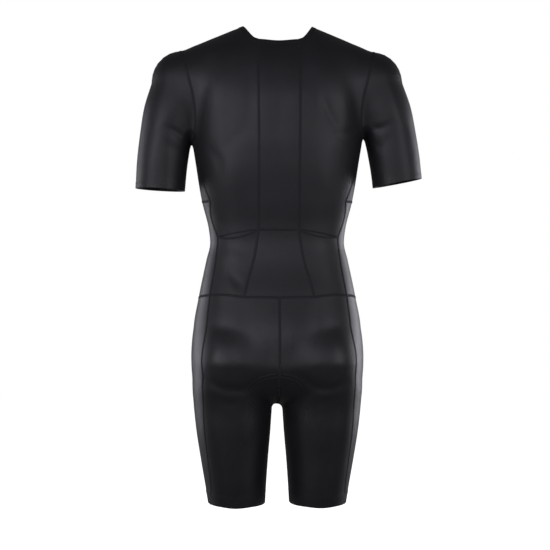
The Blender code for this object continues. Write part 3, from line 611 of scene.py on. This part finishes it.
knits = {
    # the darker and the lighter colour of the yarn, roughness, sheen, gloss, wale and course spacing and relief in mm
    "jersey": dict(dark=(0.0068, 0.0065, 0.0084), light=(0.0120, 0.0115, 0.0144), rough=0.50, sheen=0.02, gloss=0.36,
                   wale=0.62, course=0.50, relief=0.10),
    "shortLycra": dict(dark=(0.0066, 0.0063, 0.0082), light=(0.0116, 0.0111, 0.0140), rough=0.45, sheen=0.02,
                       gloss=0.38, wale=0.50, course=0.42, relief=0.08),
    "sideJersey": dict(dark=(0.0090, 0.0086, 0.0108), light=(0.0160, 0.0154, 0.0186), rough=0.42, sheen=0.02,
                       gloss=0.46, wale=0.80, course=0.70, relief=0.10),
}


def knitLook(name):
    size = knits[name]
    look = Look(name)
    u, v, _ = look.axes(look.node("TexCoord", out=2))
    body = look.node("TexCoord", out=3)
    column = (u * (2 * math.pi / (size["wale"] * mm))).math("SINE")
    row = (v * (2 * math.pi / (size["course"] * mm)) + column * 0.8).math("SINE")
    loops = (column * 0.6 + row * 0.4) * 0.5 + 0.5
    cloud = look.node("TexNoise", Vector=body, Scale=22.0, Detail=4.0, Roughness=0.6)
    fibre = look.node("TexNoise", Vector=body, Scale=900.0, Detail=2.0)
    worn = look.node("TexNoise", Vector=body, Scale=7.0, Detail=2.0)
    share = (cloud - 0.5) * 0.8 + (worn - 0.5) * 0.9 + 0.5 + (loops - 0.5) * 0.35 + (fibre - 0.5) * 0.3
    share = share.math("MINIMUM", 1.0).math("MAXIMUM", 0.0)
    look.feed("Base Color", look.mixed(share, size["dark"], size["light"]))
    look.feed("Roughness", size["rough"] + (cloud - 0.5) * 0.14 + (0.5 - loops) * 0.06)
    height = loops * 0.8 + fibre * 0.4
    look.feed("Normal", look.node("Bump", Height=height, Strength=0.45, Distance=size["relief"] * mm))
    look.feed("Sheen Weight", size["sheen"])
    look.feed("Sheen Roughness", 0.45)
    look.feed("Specular IOR Level", size["gloss"])
    return look.material


def grainLook(name, colour, rough, grain, relief, metallic=0.0, gloss=0.4):
    look = Look(name)
    body = look.node("TexCoord", out=3)
    fine = look.node("TexNoise", Vector=body, Scale=grain, Detail=3.0)
    broad = look.node("TexNoise", Vector=body, Scale=grain / 12, Detail=2.0)
    share = fine * 0.6 + broad * 0.4
    look.feed("Base Color", look.mixed(share, [0.7 * c for c in colour], [1.3 * c for c in colour]))
    look.feed("Roughness", rough + (share - 0.5) * 0.25)
    look.feed("Normal", look.node("Bump", Height=share, Strength=0.35, Distance=relief * mm))
    look.feed("Metallic", metallic)
    look.feed("Specular IOR Level", gloss)
    return look.material


def weaveLook(name, colour, rough, pitch, relief):
    # a plain woven tape: yarns over and under each other along its own two directions
    look = Look(name)
    u, v, _ = look.axes(look.node("TexCoord", out=2))
    body = look.node("TexCoord", out=3)
    across = (u * (2 * math.pi / (pitch * mm))).math("SINE")
    along = (v * (2 * math.pi / (pitch * mm))).math("SINE")
    yarn = across * along * 0.5 + 0.5
    soft = look.node("TexNoise", Vector=body, Scale=160.0, Detail=3.0)
    share = yarn * 0.6 + soft * 0.4
    look.feed("Base Color", look.mixed(share, [0.65 * c for c in colour], [1.35 * c for c in colour]))
    look.feed("Roughness", rough + (soft - 0.5) * 0.2)
    look.feed("Normal", look.node("Bump", Height=share, Strength=0.6, Distance=relief * mm))
    look.feed("Specular IOR Level", 0.25)
    return look.material


jersey = knitLook("jersey")
sideJersey = knitLook("sideJersey")
shortLycra = knitLook("shortLycra")
seamKnit = weaveLook("seamKnit", (0.0100, 0.0096, 0.0120), 0.62, 1.2, 0.16)
thread = grainLook("thread", (0.0135, 0.0130, 0.0155), 0.50, 1400.0, 0.05)
padFoam = weaveLook("padFoam", (0.020, 0.020, 0.023), 0.90, 1.6, 0.22)
zipCloth = weaveLook("zipCloth", (0.010, 0.010, 0.011), 0.75, 0.9, 0.10)
zipNylon = grainLook("zipNylon", (0.016, 0.016, 0.017), 0.40, 300.0, 0.05)
zipMetal = grainLook("zipMetal", (0.050, 0.050, 0.055), 0.34, 420.0, 0.03, metallic=0.85)

print("upper body")
right, left = torso[-1], torso[1]
half = cells["halfStrip"]
neckLine = seam([right["neckBack"][0], onBack(0, 41), left["neckBack"][0]], 2 * half)
pocketLine = seam([right["pocket"][0], onBack(0, cut["pocketDrop"]), left["pocket"][0]], 2 * half)
waistLine = joined(right["waistCentre"][::-1], left["waistCentre"])
strip = spreadOut(neckLine, pocketLine, right["stripUpper"], left["stripUpper"])
clothPiece("back_centre", strip, jersey, "jersey")
waistPiece = spreadOut(pocketLine, waistLine, right["flare"], left["flare"])
clothPiece("back_waist_centre", waistPiece, jersey, "jersey")

pocket = {"gape": 2.5, "dip": {1: 7.0, -1: 5.0}, "fade": 1.5, "bow": 1.2, "hem": 3.6}


def pocketPieces(s, word):
    seams = torso[s]
    grid = spreadOut(seams["pocket"], seams["waistBack"], seams["flare"], seams["backLower"])
    clothPiece(f"pocket_lining_{word}", grid, jersey, "jersey", lift=-(cut["cloth"] + cut["seamGap"]))
    rows, columns = grid.shape[:2]
    bow = np.sin(np.linspace(0, math.pi, columns)) ** pocket["bow"]
    fade = np.linspace(1, 0, rows)
    dipped = grid.copy()
    dipped[:, 1:-1, 2] -= (pocket["dip"][s] * fade[:, None] ** 6 * bow[None])[:, 1:-1]
    dipped = settle(dipped, rounds=3)
    dipped[:, 0], dipped[:, -1], dipped[-1] = grid[:, 0], grid[:, -1], grid[-1]
    lift = pocket["gape"] * (fade ** pocket["fade"])[:, None] * bow[None]
    clothPiece(f"pocket_{word}", dipped, jersey, "jersey", lift=lift)
    return dipped[0]


fronts, pocketEdges = {}, {}
for s, word in sides:
    seams = torso[s]
    top = joined(seams["neckBack"], seams["shoulder"])
    outer = joined(seams["holeBack"], seams["backUpper"], seams["backMid"])
    clothPiece(f"back_{word}", spreadOut(top, seams["pocket"], seams["stripUpper"], outer), jersey, "jersey")
    pocketEdges[s] = pocketPieces(s, word)
    upper = spreadOut(seams["underarm"], seams["notch"], seams["backUpper"], seams["frontUpper"])
    clothPiece(f"side_upper_{word}", upper, jersey, "jersey")
    back = joined(seams["backMid"], seams["backLower"])
    front = joined(seams["frontMid"], seams["frontLower"])
    lower = spreadOut(seams["notch"], seams["waistSide"], back, front)
    clothPiece(f"side_lower_{word}", lower, sideJersey, "side_jersey")
    top = joined(seams["neckFront"], seams["shoulder"])
    outer = joined(seams["holeFront"], seams["frontUpper"], seams["frontMid"], seams["frontLower"])
    fronts[s] = spreadOut(top, seams["waistFront"][::-1], seams["zipEdge"], outer)
    clothPiece(f"front_{word}", fronts[s], jersey, "jersey")

print("neck band")
band = {"thick": 1.8, "crown": 0.5, "rows": 9}
halves = {s: joined(torso[s]["neckBack"], torso[s]["neckFront"][::-1]) for s in (1, -1)}
neckEdge = joined(halves[-1][::-1], neckLine, halves[1])
upwards = np.cross(np.gradient(neckEdge, axis=0), normalsOf(neckEdge))
upwards /= np.linalg.norm(upwards, axis=1, keepdims=True)
upwards *= np.sign(upwards[len(upwards) // 2, 2])
shares = np.linspace(1, 0, band["rows"])
bandGrid = np.array([settle(neckEdge + upwards * cut["neckBand"] * k, rounds=5) for k in shares])
crown = (1 - (2 * shares - 1) ** 2)[:, None] * band["crown"]
clothPiece("neck_band", bandGrid, shortLycra, "short_lycra", lift=crown, thickness=band["thick"])

print("sleeves")
half = cells["underarm"] // 2
sleeves = {}
for s, word in sides:
    seams = torso[s]
    under = seams["underarm"]
    hole = joined(under[:half + 1][::-1], seams["holeBack"][::-1], seams["holeFront"], under[half:][::-1])
    count = len(hole) - 1
    middle = sleeveRing(s, 205, cut["cuffTilt"][s] * 0.4, count)
    cuff = sleeveRing(s, cut["cuffDrop"][s], cut["cuffTilt"][s], count)
    t = np.linspace(0, 1, cells["sleeve"] + 1)[:, None, None]
    grid = (2 * t - 1) * (t - 1) * hole[None] + 4 * t * (1 - t) * middle[None] + t * (2 * t - 1) * cuff[None]
    grid[1:] = settle(grid[1:], rounds=6)
    grid[1:, 0] = grid[1:, -1] = settle((grid[1:, 0] + grid[1:, -1]) / 2, rounds=4)
    sleeves[s] = settle(relaxed(grid, 10), rounds=4)
    clothPiece(f"sleeve_{word}", sleeves[s], jersey, "jersey", hem=turned["cuff"])

print("shorts")
legGrids = {}
for s, word in sides:
    upper, seams = torso[s], legs[s]
    innerBack = joined(seams["seat"], seams["inseam"])
    innerFront = joined(seams["front"], seams["inseam"])
    backTop = joined(upper["waistCentre"], upper["waistBack"])
    frontTop = joined(upper["waistFront"], upper["waistZip"])
    grids = {
        "back": spreadOut(backTop, seams["hemBack"], innerBack, seams["sideBack"]),
        "side": spreadOut(upper["waistSide"], seams["hemSide"], seams["sideBack"], seams["sideFront"]),
        "front": spreadOut(frontTop, seams["hemFront"], seams["sideFront"], innerFront),
    }
    for part, grid in grids.items():
        finish = (sideJersey, "side_jersey") if part == "side" else (shortLycra, "short_lycra")
        clothPiece(f"leg_{part}_{word}", grid, *finish, hem=turned["leg"])
    legGrids[s] = grids

print("seams")
seamBand = {"width": 5.2, "height": 0.40, "sunk": 0.5, "pitch": 4.0}
bandShape = ((-0.5, -1), (-0.5, 0.5), (-0.4, 0.9), (-0.12, 1), (0.12, 1), (0.4, 0.9), (0.5, 0.5), (0.5, -1))


def isClosed(line):
    return np.linalg.norm(line[0] - line[-1]) < 0.5


def sideways(line):
    # the cloth's outward direction and the direction across the line, at each of its points
    normals = normalsOf(line)
    along = np.gradient(line, axis=0)
    if isClosed(line):
        along[0] = along[-1] = line[1] - line[-2]
    across = np.cross(normals, along)
    return normals, across / np.maximum(np.linalg.norm(across, axis=1, keepdims=True), 1e-9)


def aside(line, amount):
    # the same line moved over the cloth
    return settle(line + sideways(line)[1] * amount, rounds=4)


def bandAlong(line, width, height, lift):
    # a low rounded band on the cloth: its vertices, quads and cloth coordinates
    line = evenly(line, max(4, int(lengthAlong(line)[-1] / seamBand["pitch"])))
    normals, across = sideways(line)
    down = lengthAlong(line)
    rise = creased(line) + lift(down / down[-1])
    rings = []
    for place, tall in bandShape:
        at = settle(line + across * (place * width), rounds=3)
        proud = tall * height if tall > 0 else -seamBand["sunk"]
        rings.append(at + normals * (proud + rise)[:, None])
    verts = np.stack(rings, 1)
    rows, count = verts.shape[:2]
    at = np.arange(rows * count).reshape(rows, count)
    after = np.roll(at, -1, axis=1)
    quads = [np.stack([at[:-1], at[1:], after[1:], after[:-1]], 2).reshape(-1, 4)]
    if not isClosed(line):
        for end in (at[0][::-1], at[-1]):
            quads.append([[end[k], end[k + 1], end[-k - 2], end[-k - 1]] for k in range(count // 2 - 1)])
    places = np.tile([place * width for place, _ in bandShape], (rows, 1))
    uv = np.stack([places, np.repeat(down[:, None], count, 1)], 2)
    return verts.reshape(-1, 3), np.concatenate(quads), uv.reshape(-1, 2)


def turnedOut(made):
    solid = bmesh.new()
    solid.from_mesh(made.data)
    bmesh.ops.recalc_face_normals(solid, faces=solid.faces)
    solid.to_mesh(made.data)
    solid.free()


def noLift(share):
    return 0 * share


def bandPiece(name, lines, look, width=seamBand["width"], height=seamBand["height"], lift=noLift):
    verts, quads, uvs = [], [], []
    count = 0
    for line in lines:
        points, faces, uv = bandAlong(line, width, height, lift)
        verts.append(points)
        quads.append(faces + count)
        uvs.append(uv)
        count += len(points)
    made = meshFrom(name, np.concatenate(verts), np.concatenate(quads), np.concatenate(uvs))
    turnedOut(made)
    made.data.materials.append(look)
    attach(made, "suit")
    return made


threads = {
    # spacing along the row, size along it, across it and off the cloth, and lean in degrees
    "flatSeam": dict(Spacing=2.2, Along=0.55, Across=4.4, Proud=0.6, Lean=26),
    "hem": dict(Spacing=3.0, Along=2.4, Across=0.55, Proud=0.6, Lean=0),
    "coil": dict(Spacing=1.5, Along=1.0, Across=2.4, Proud=1.2, Lean=0),
}


def threadTree():
    # short rounded bars set along every row, leaning to one side and the other in turn
    tree = bpy.data.node_groups.new("threadRows", "GeometryNodeTree")
    tree.is_modifier = True
    tree.interface.new_socket("Rows", in_out="INPUT", socket_type="NodeSocketGeometry")
    for name in ("Spacing", "Along", "Across", "Proud", "Lean"):
        tree.interface.new_socket(name, in_out="INPUT", socket_type="NodeSocketFloat")
    tree.interface.new_socket("Finish", in_out="INPUT", socket_type="NodeSocketMaterial")
    tree.interface.new_socket("Threads", in_out="OUTPUT", socket_type="NodeSocketGeometry")

    def add(kind, settings=None, *numbered, **named):
        made = tree.nodes.new(kind)
        for key, value in (settings or {}).items():
            setattr(made, key, value)
        for key, value in [*enumerate(numbered), *named.items()]:
            socket = made.inputs[key]
            if isinstance(value, bpy.types.NodeSocket):
                tree.links.new(value, socket)
            else:
                socket.default_value = value
        return made

    given = add("NodeGroupInput").outputs
    curve = add("GeometryNodeMeshToCurve", Mesh=given["Rows"]).outputs[0]
    points = add("GeometryNodeResampleCurve", {"mode": "LENGTH"}, Curve=curve, Length=given["Spacing"]).outputs[0]
    outward = add("GeometryNodeInputNamedAttribute", {"data_type": "FLOAT_VECTOR"}, Name="outward").outputs[0]
    tangent = add("GeometryNodeInputTangent").outputs[0]
    axes = {"primary_axis": "Z", "secondary_axis": "X"}
    facing = add("FunctionNodeAxesToRotation", axes, outward, tangent).outputs[0]
    index = add("GeometryNodeInputIndex").outputs[0]
    turn = add("ShaderNodeMath", {"operation": "MODULO"}, index, 2.0).outputs[0]
    turn = add("ShaderNodeMath", {"operation": "MULTIPLY_ADD"}, turn, 2.0, -1.0).outputs[0]
    turn = add("ShaderNodeMath", {"operation": "MULTIPLY"}, turn, given["Lean"]).outputs[0]
    angles = add("ShaderNodeCombineXYZ", Z=turn).outputs[0]
    lean = add("FunctionNodeEulerToRotation", None, angles).outputs[0]
    facing = add("FunctionNodeRotateRotation", {"rotation_space": "LOCAL"}, facing, lean).outputs[0]
    size = add("ShaderNodeCombineXYZ", X=given["Along"], Y=given["Across"], Z=given["Proud"]).outputs[0]
    bar = add("GeometryNodeMeshIcoSphere", Radius=0.5, Subdivisions=1).outputs[0]
    bars = add("GeometryNodeInstanceOnPoints", Points=points, Instance=bar, Rotation=facing, Scale=size).outputs[0]
    solid = add("GeometryNodeRealizeInstances", Geometry=bars).outputs[0]
    smooth = add("GeometryNodeSetShadeSmooth", Geometry=solid).outputs[0]
    painted = add("GeometryNodeSetMaterial", Geometry=smooth, Material=given["Finish"]).outputs[0]
    tree.links.new(painted, add("NodeGroupOutput").inputs["Threads"])
    return tree


rowsOfThread = threadTree()


def threadPiece(name, rows, look, size, lift=0.1):
    verts, normals, edges = [], [], []
    count = 0
    for line in rows:
        outward = normalsOf(line)
        verts.append(line + outward * (creased(line) + lift)[:, None])
        normals.append(outward)
        edges += [(count + k, count + k + 1) for k in range(len(line) - 1)]
        count += len(line)
    mesh = bpy.data.meshes.new(name)
    mesh.from_pydata(np.concatenate(verts) * mm, edges, [])
    kept = mesh.attributes.new("outward", "FLOAT_VECTOR", "POINT")
    kept.data.foreach_set("vector", np.concatenate(normals).astype(np.float32).ravel())
    made = bpy.data.objects.new(name, mesh)
    bpy.context.collection.objects.link(made)
    step = made.modifiers.new("rows", "NODES")
    step.node_group = rowsOfThread
    for item in rowsOfThread.interface.items_tree:
        if item.name == "Finish":
            step[item.identifier] = look
        elif item.name == "Lean":
            step[item.identifier] = math.radians(size["Lean"])
        elif item.name in size:
            step[item.identifier] = size[item.name] * mm
    bpy.context.view_layer.update()
    solid = bpy.data.meshes.new_from_object(made.evaluated_get(bpy.context.evaluated_depsgraph_get()))
    made.modifiers.clear()
    made.data = solid
    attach(made, "suit")
    return made


def sewn(name, lines):
    # a flat-locked seam: its band, and the thread that crosses it
    bandPiece(f"{name}.band", lines, seamKnit)
    threadPiece(f"{name}.thread", lines, thread, threads["flatSeam"], lift=seamBand["height"])


def above(grid, height):
    # the line that many millimetres over the grid's lower edge
    rows = []
    for column in np.moveaxis(grid, 1, 0):
        length = lengthAlong(column[::-1])
        rows.append([np.interp(height, length, column[::-1, k]) for k in range(3)])
    return np.array(rows)


def mouthLift(share):
    return pocket["gape"] * np.sin(math.pi * np.clip(share, 0, 1)) ** pocket["bow"]


for s, word in sides:
    up, low = torso[s], legs[s]
    sewn(f"bodySeams.{word}", [
        joined(up["stripUpper"], up["flare"]),
        joined(up["holeBack"], up["underarm"], up["holeFront"][::-1]),
        joined(up["backUpper"], up["backMid"], up["backLower"]),
        joined(up["frontUpper"], up["frontMid"], up["frontLower"]),
        up["notch"], up["shoulder"], sleeves[s][:, 0],
    ])
    sewn(f"shortSeams.{word}", [low["sideBack"], low["sideFront"], low["inseam"]])
    edge = aside(pocketEdges[s], s * 1.6)
    bandPiece(f"pocketHem.{word}", [edge], seamKnit, width=pocket["hem"], height=0.4, lift=mouthLift)
    bandPiece(f"pocketTop.{word}", [aside(up["pocket"], -s * 1.0)], seamKnit, width=2.6, height=0.35)
    rows = [above(sleeves[s], turned["cuff"] + k) for k in turned["cuffRows"]]
    for grid in legGrids[s].values():
        rows += [above(grid, turned["leg"] + k) for k in turned["legRows"]]
    threadPiece(f"hemThread.{word}", rows, thread, threads["hem"], lift=turned["rise"])
waistRing = joined(
    left["waistZip"][::-1], left["waistFront"][::-1], left["waistSide"][::-1], left["waistBack"][::-1],
    waistLine[::-1], right["waistBack"], right["waistSide"], right["waistFront"], right["waistZip"])
sewn("waistSeam", [waistRing, joined(legs[1]["seat"], legs[1]["front"][::-1])])
sewn("pocketSeam", [pocketLine])
bandPiece("neckSeam", [neckEdge], seamKnit, width=2.8, height=0.55)
threadPiece("neckThread", [neckEdge], thread, threads["hem"], lift=0.6)

print("seat pad")
pad = {
    "turns": (10, 158), "halfWidths": (20, 42, 51, 50, 42, 33, 28, 27, 30, 32, 24), "setIn": 4.7, "thick": 5.0,
    "edge": 0.35, "channels": (-0.42, 0.42), "channelWidth": 0.07, "channelDepth": 0.45,
    # the raised double line that it makes through the seat: (x, drop) down one side of the back
    "print": {1: ((0, 664), (28, 669), (48, 682), (54, 695), (48, 709), (33, 722)),
              -1: ((0, 664), (-23, 669), (-40, 680), (-45, 692), (-40, 704), (-31, 714))},
    "printApart": 7.0, "printWidth": 4.6, "printHeight": 0.5,
}


def padGrid(rows, steps):
    turns = np.linspace(*pad["turns"], rows)
    share = np.linspace(0, 1, rows)
    table = pad["halfWidths"]
    widths = np.interp(share, np.linspace(0, 1, len(table)), table)
    widths = np.convolve(np.pad(widths, 3, mode="edge"), np.ones(7) / 7, mode="valid")
    centre = np.array([crotchPoint(turn) for turn in turns])
    along = np.gradient(centre, axis=0)
    halves = {}
    for sign in (-1, 1):
        line, points = [centre], centre
        for _ in range(steps):
            across = np.cross(normalsOf(points), along)
            across /= np.linalg.norm(across, axis=1, keepdims=True)
            across *= sign * np.sign(across[:1, :1])
            points = settle(points + across * (widths / steps)[:, None], rounds=4)
            line.append(points)
        halves[sign] = line
    return np.stack(halves[-1][::-1] + halves[1][1:], axis=1)


grid = padGrid(48, 14)
across = np.linspace(-1, 1, grid.shape[1])[None]
down = np.linspace(-1, 1, grid.shape[0])[:, None]
body = (1 - np.abs(across) ** 5) * (1 - np.abs(down) ** 8)
body = pad["edge"] + (1 - pad["edge"]) * body
for place in pad["channels"]:
    off = (across - place * (1 - 0.3 * down**2)) / pad["channelWidth"]
    body = body * (1 - pad["channelDepth"] * np.exp(-off**2))
outer = np.full(grid.shape[:2], -pad["setIn"])
seatPad = shell("seatPadFoam", grid, outer, outer - pad["thick"] * body)
seatPad.data.materials.append(padFoam)
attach(seatPad, "suit")
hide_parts("seat_pad")
lines = []
for s in (1, -1):
    outline = seam([onBack(x, drop) for x, drop in pad["print"][s]], 40)
    lines += [outline, aside(outline, -s * pad["printApart"])[2:-2]]
bandPiece("padPrint", lines, shortLycra, width=pad["printWidth"], height=pad["printHeight"])

print("zip")
zipper = {"tape": 15.0, "tapeThick": 0.8, "tapeSetIn": 1.3, "coilApart": 1.35, "coilLift": -0.2, "cordSunk": 0.35}
for s, word in sides:
    edge, inside = fronts[s][:, 0], fronts[s][:, cut["fineness"]]
    reach = (zipper["tape"] - cut["zipOpening"]) / np.abs(inside[:, :1] - edge[:, :1])
    middle = edge.copy()
    middle[:, 0] = s * 0.4
    columns = [middle, (middle + edge) / 2] + [edge + k * reach * (inside - edge) for k in (0, 0.25, 0.5, 0.75, 1)]
    grid = settle(np.stack(columns, 1), rounds=4)
    clothPiece(f"zip_tape_{word}", grid, zipCloth, "zip_cloth", lift=-zipper["tapeSetIn"],
               thickness=zipper["tapeThick"])


def cordLift(share):
    return 0 * share - zipper["cordSunk"]


coil = []
for s in (1, -1):
    line = torso[1]["zipEdge"].copy()
    line[:, 0] = s * zipper["coilApart"]
    line[:, 2] += s * threads["coil"]["Spacing"] / 4
    coil.append(settle(line, rounds=4))
chain = threadPiece("zipCoil", coil, zipNylon, threads["coil"], lift=zipper["coilLift"])
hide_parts("zip_chain")
middle = settle((coil[0] + coil[1]) / 2, rounds=4)
bandPiece("zipCord", [middle], zipCloth, width=2.6, height=0.35, lift=cordLift)
for name in ("zip_slider", "zip_pull_tab"):
    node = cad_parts[name]
    node.data.materials.clear()
    node.data.materials.append(zipMetal)

print("stage")
view = {"distance": 3.0, "height": -0.4745, "side": 0.004, "turn": 2.5, "across": 1.0533}


def makeCamera():
    turn = math.radians(view["turn"])
    away = Vector((math.sin(turn), math.cos(turn), 0))
    across = Vector((math.cos(turn), -math.sin(turn), 0))
    data = bpy.data.cameras.new("camera")
    data.lens = data.sensor_width * view["distance"] / view["across"]
    camera = bpy.data.objects.new("camera", data)
    camera.location = away * view["distance"] + across * view["side"] + Vector((0, 0, view["height"]))
    camera.rotation_euler = away.to_track_quat("Z", "Y").to_euler()
    bpy.context.collection.objects.link(camera)
    bpy.context.scene.camera = camera


studio = {"seen": 1.0, "lit": 0.09}           # brightness of the room, as seen and as it lights the suit
lamps = {
    # where it stands, what it looks at, size, watts and spread in degrees
    "keyLeft": dict(at=(1.40, 1.35, -0.15), to=(0.02, 0.1, -0.38), size=0.9, power=3.6, spread=90),
    "fillRight": dict(at=(-1.30, 1.40, -0.20), to=(-0.02, 0.1, -0.40), size=0.9, power=2.8, spread=90),
    "front": dict(at=(0.30, 2.10, 0.00), to=(0, 0.1, -0.36), size=0.9, power=1.9, spread=80),
    "rimLeft": dict(at=(1.6, -0.9, -0.45), to=(0, 0, -0.5), size=1.2, power=5.2, spread=120),
    "rimRight": dict(at=(-1.6, -0.9, -0.45), to=(0, 0, -0.5), size=1.2, power=7.8, spread=120),
}
lampTint = (0.94, 0.915, 1.0)


def makeLights():
    for name, lamp in lamps.items():
        data = bpy.data.lights.new(name, "AREA")
        data.size, data.energy, data.color = lamp["size"], lamp["power"], lampTint
        data.spread = math.radians(lamp["spread"])
        made = bpy.data.objects.new(name, data)
        made.location = lamp["at"]
        made.visible_camera = False
        made.rotation_euler = (Vector(lamp["at"]) - Vector(lamp["to"])).to_track_quat("Z", "Y").to_euler()
        bpy.context.collection.objects.link(made)
    world = bpy.data.worlds.new("studio")
    world.use_nodes = True
    tree = world.node_tree
    room = tree.nodes["Background"]
    room.inputs["Color"].default_value = (1, 1, 1, 1)
    seen = Val(tree, tree.nodes.new("ShaderNodeLightPath").outputs["Is Camera Ray"])
    plug(tree, seen * (studio["seen"] - studio["lit"]) + studio["lit"], room.inputs["Strength"])
    bpy.context.scene.world = world
    bpy.context.scene.view_settings.view_transform = "Standard"


def makeFloor():
    size, low = 4.0, -1.02
    corners = [(-size, -size, low), (size, -size, low), (size, size, low), (-size, size, low)]
    mesh = bpy.data.meshes.new("floor")
    mesh.from_pydata(corners, [], [(0, 1, 2, 3)])
    floor = bpy.data.objects.new("floor", mesh)
    bpy.context.collection.objects.link(floor)
    look = Look("floor")
    look.feed("Base Color", (0.80, 0.80, 0.80))
    look.feed("Roughness", 0.9)
    look.feed("Emission Color", (1.0, 1.0, 1.0))
    look.feed("Emission Strength", 1.0)
    mesh.materials.append(look.material)
    floor.visible_diffuse = floor.visible_glossy = False          # it doesn't light the suit from below


makeCamera()
makeLights()
makeFloor()
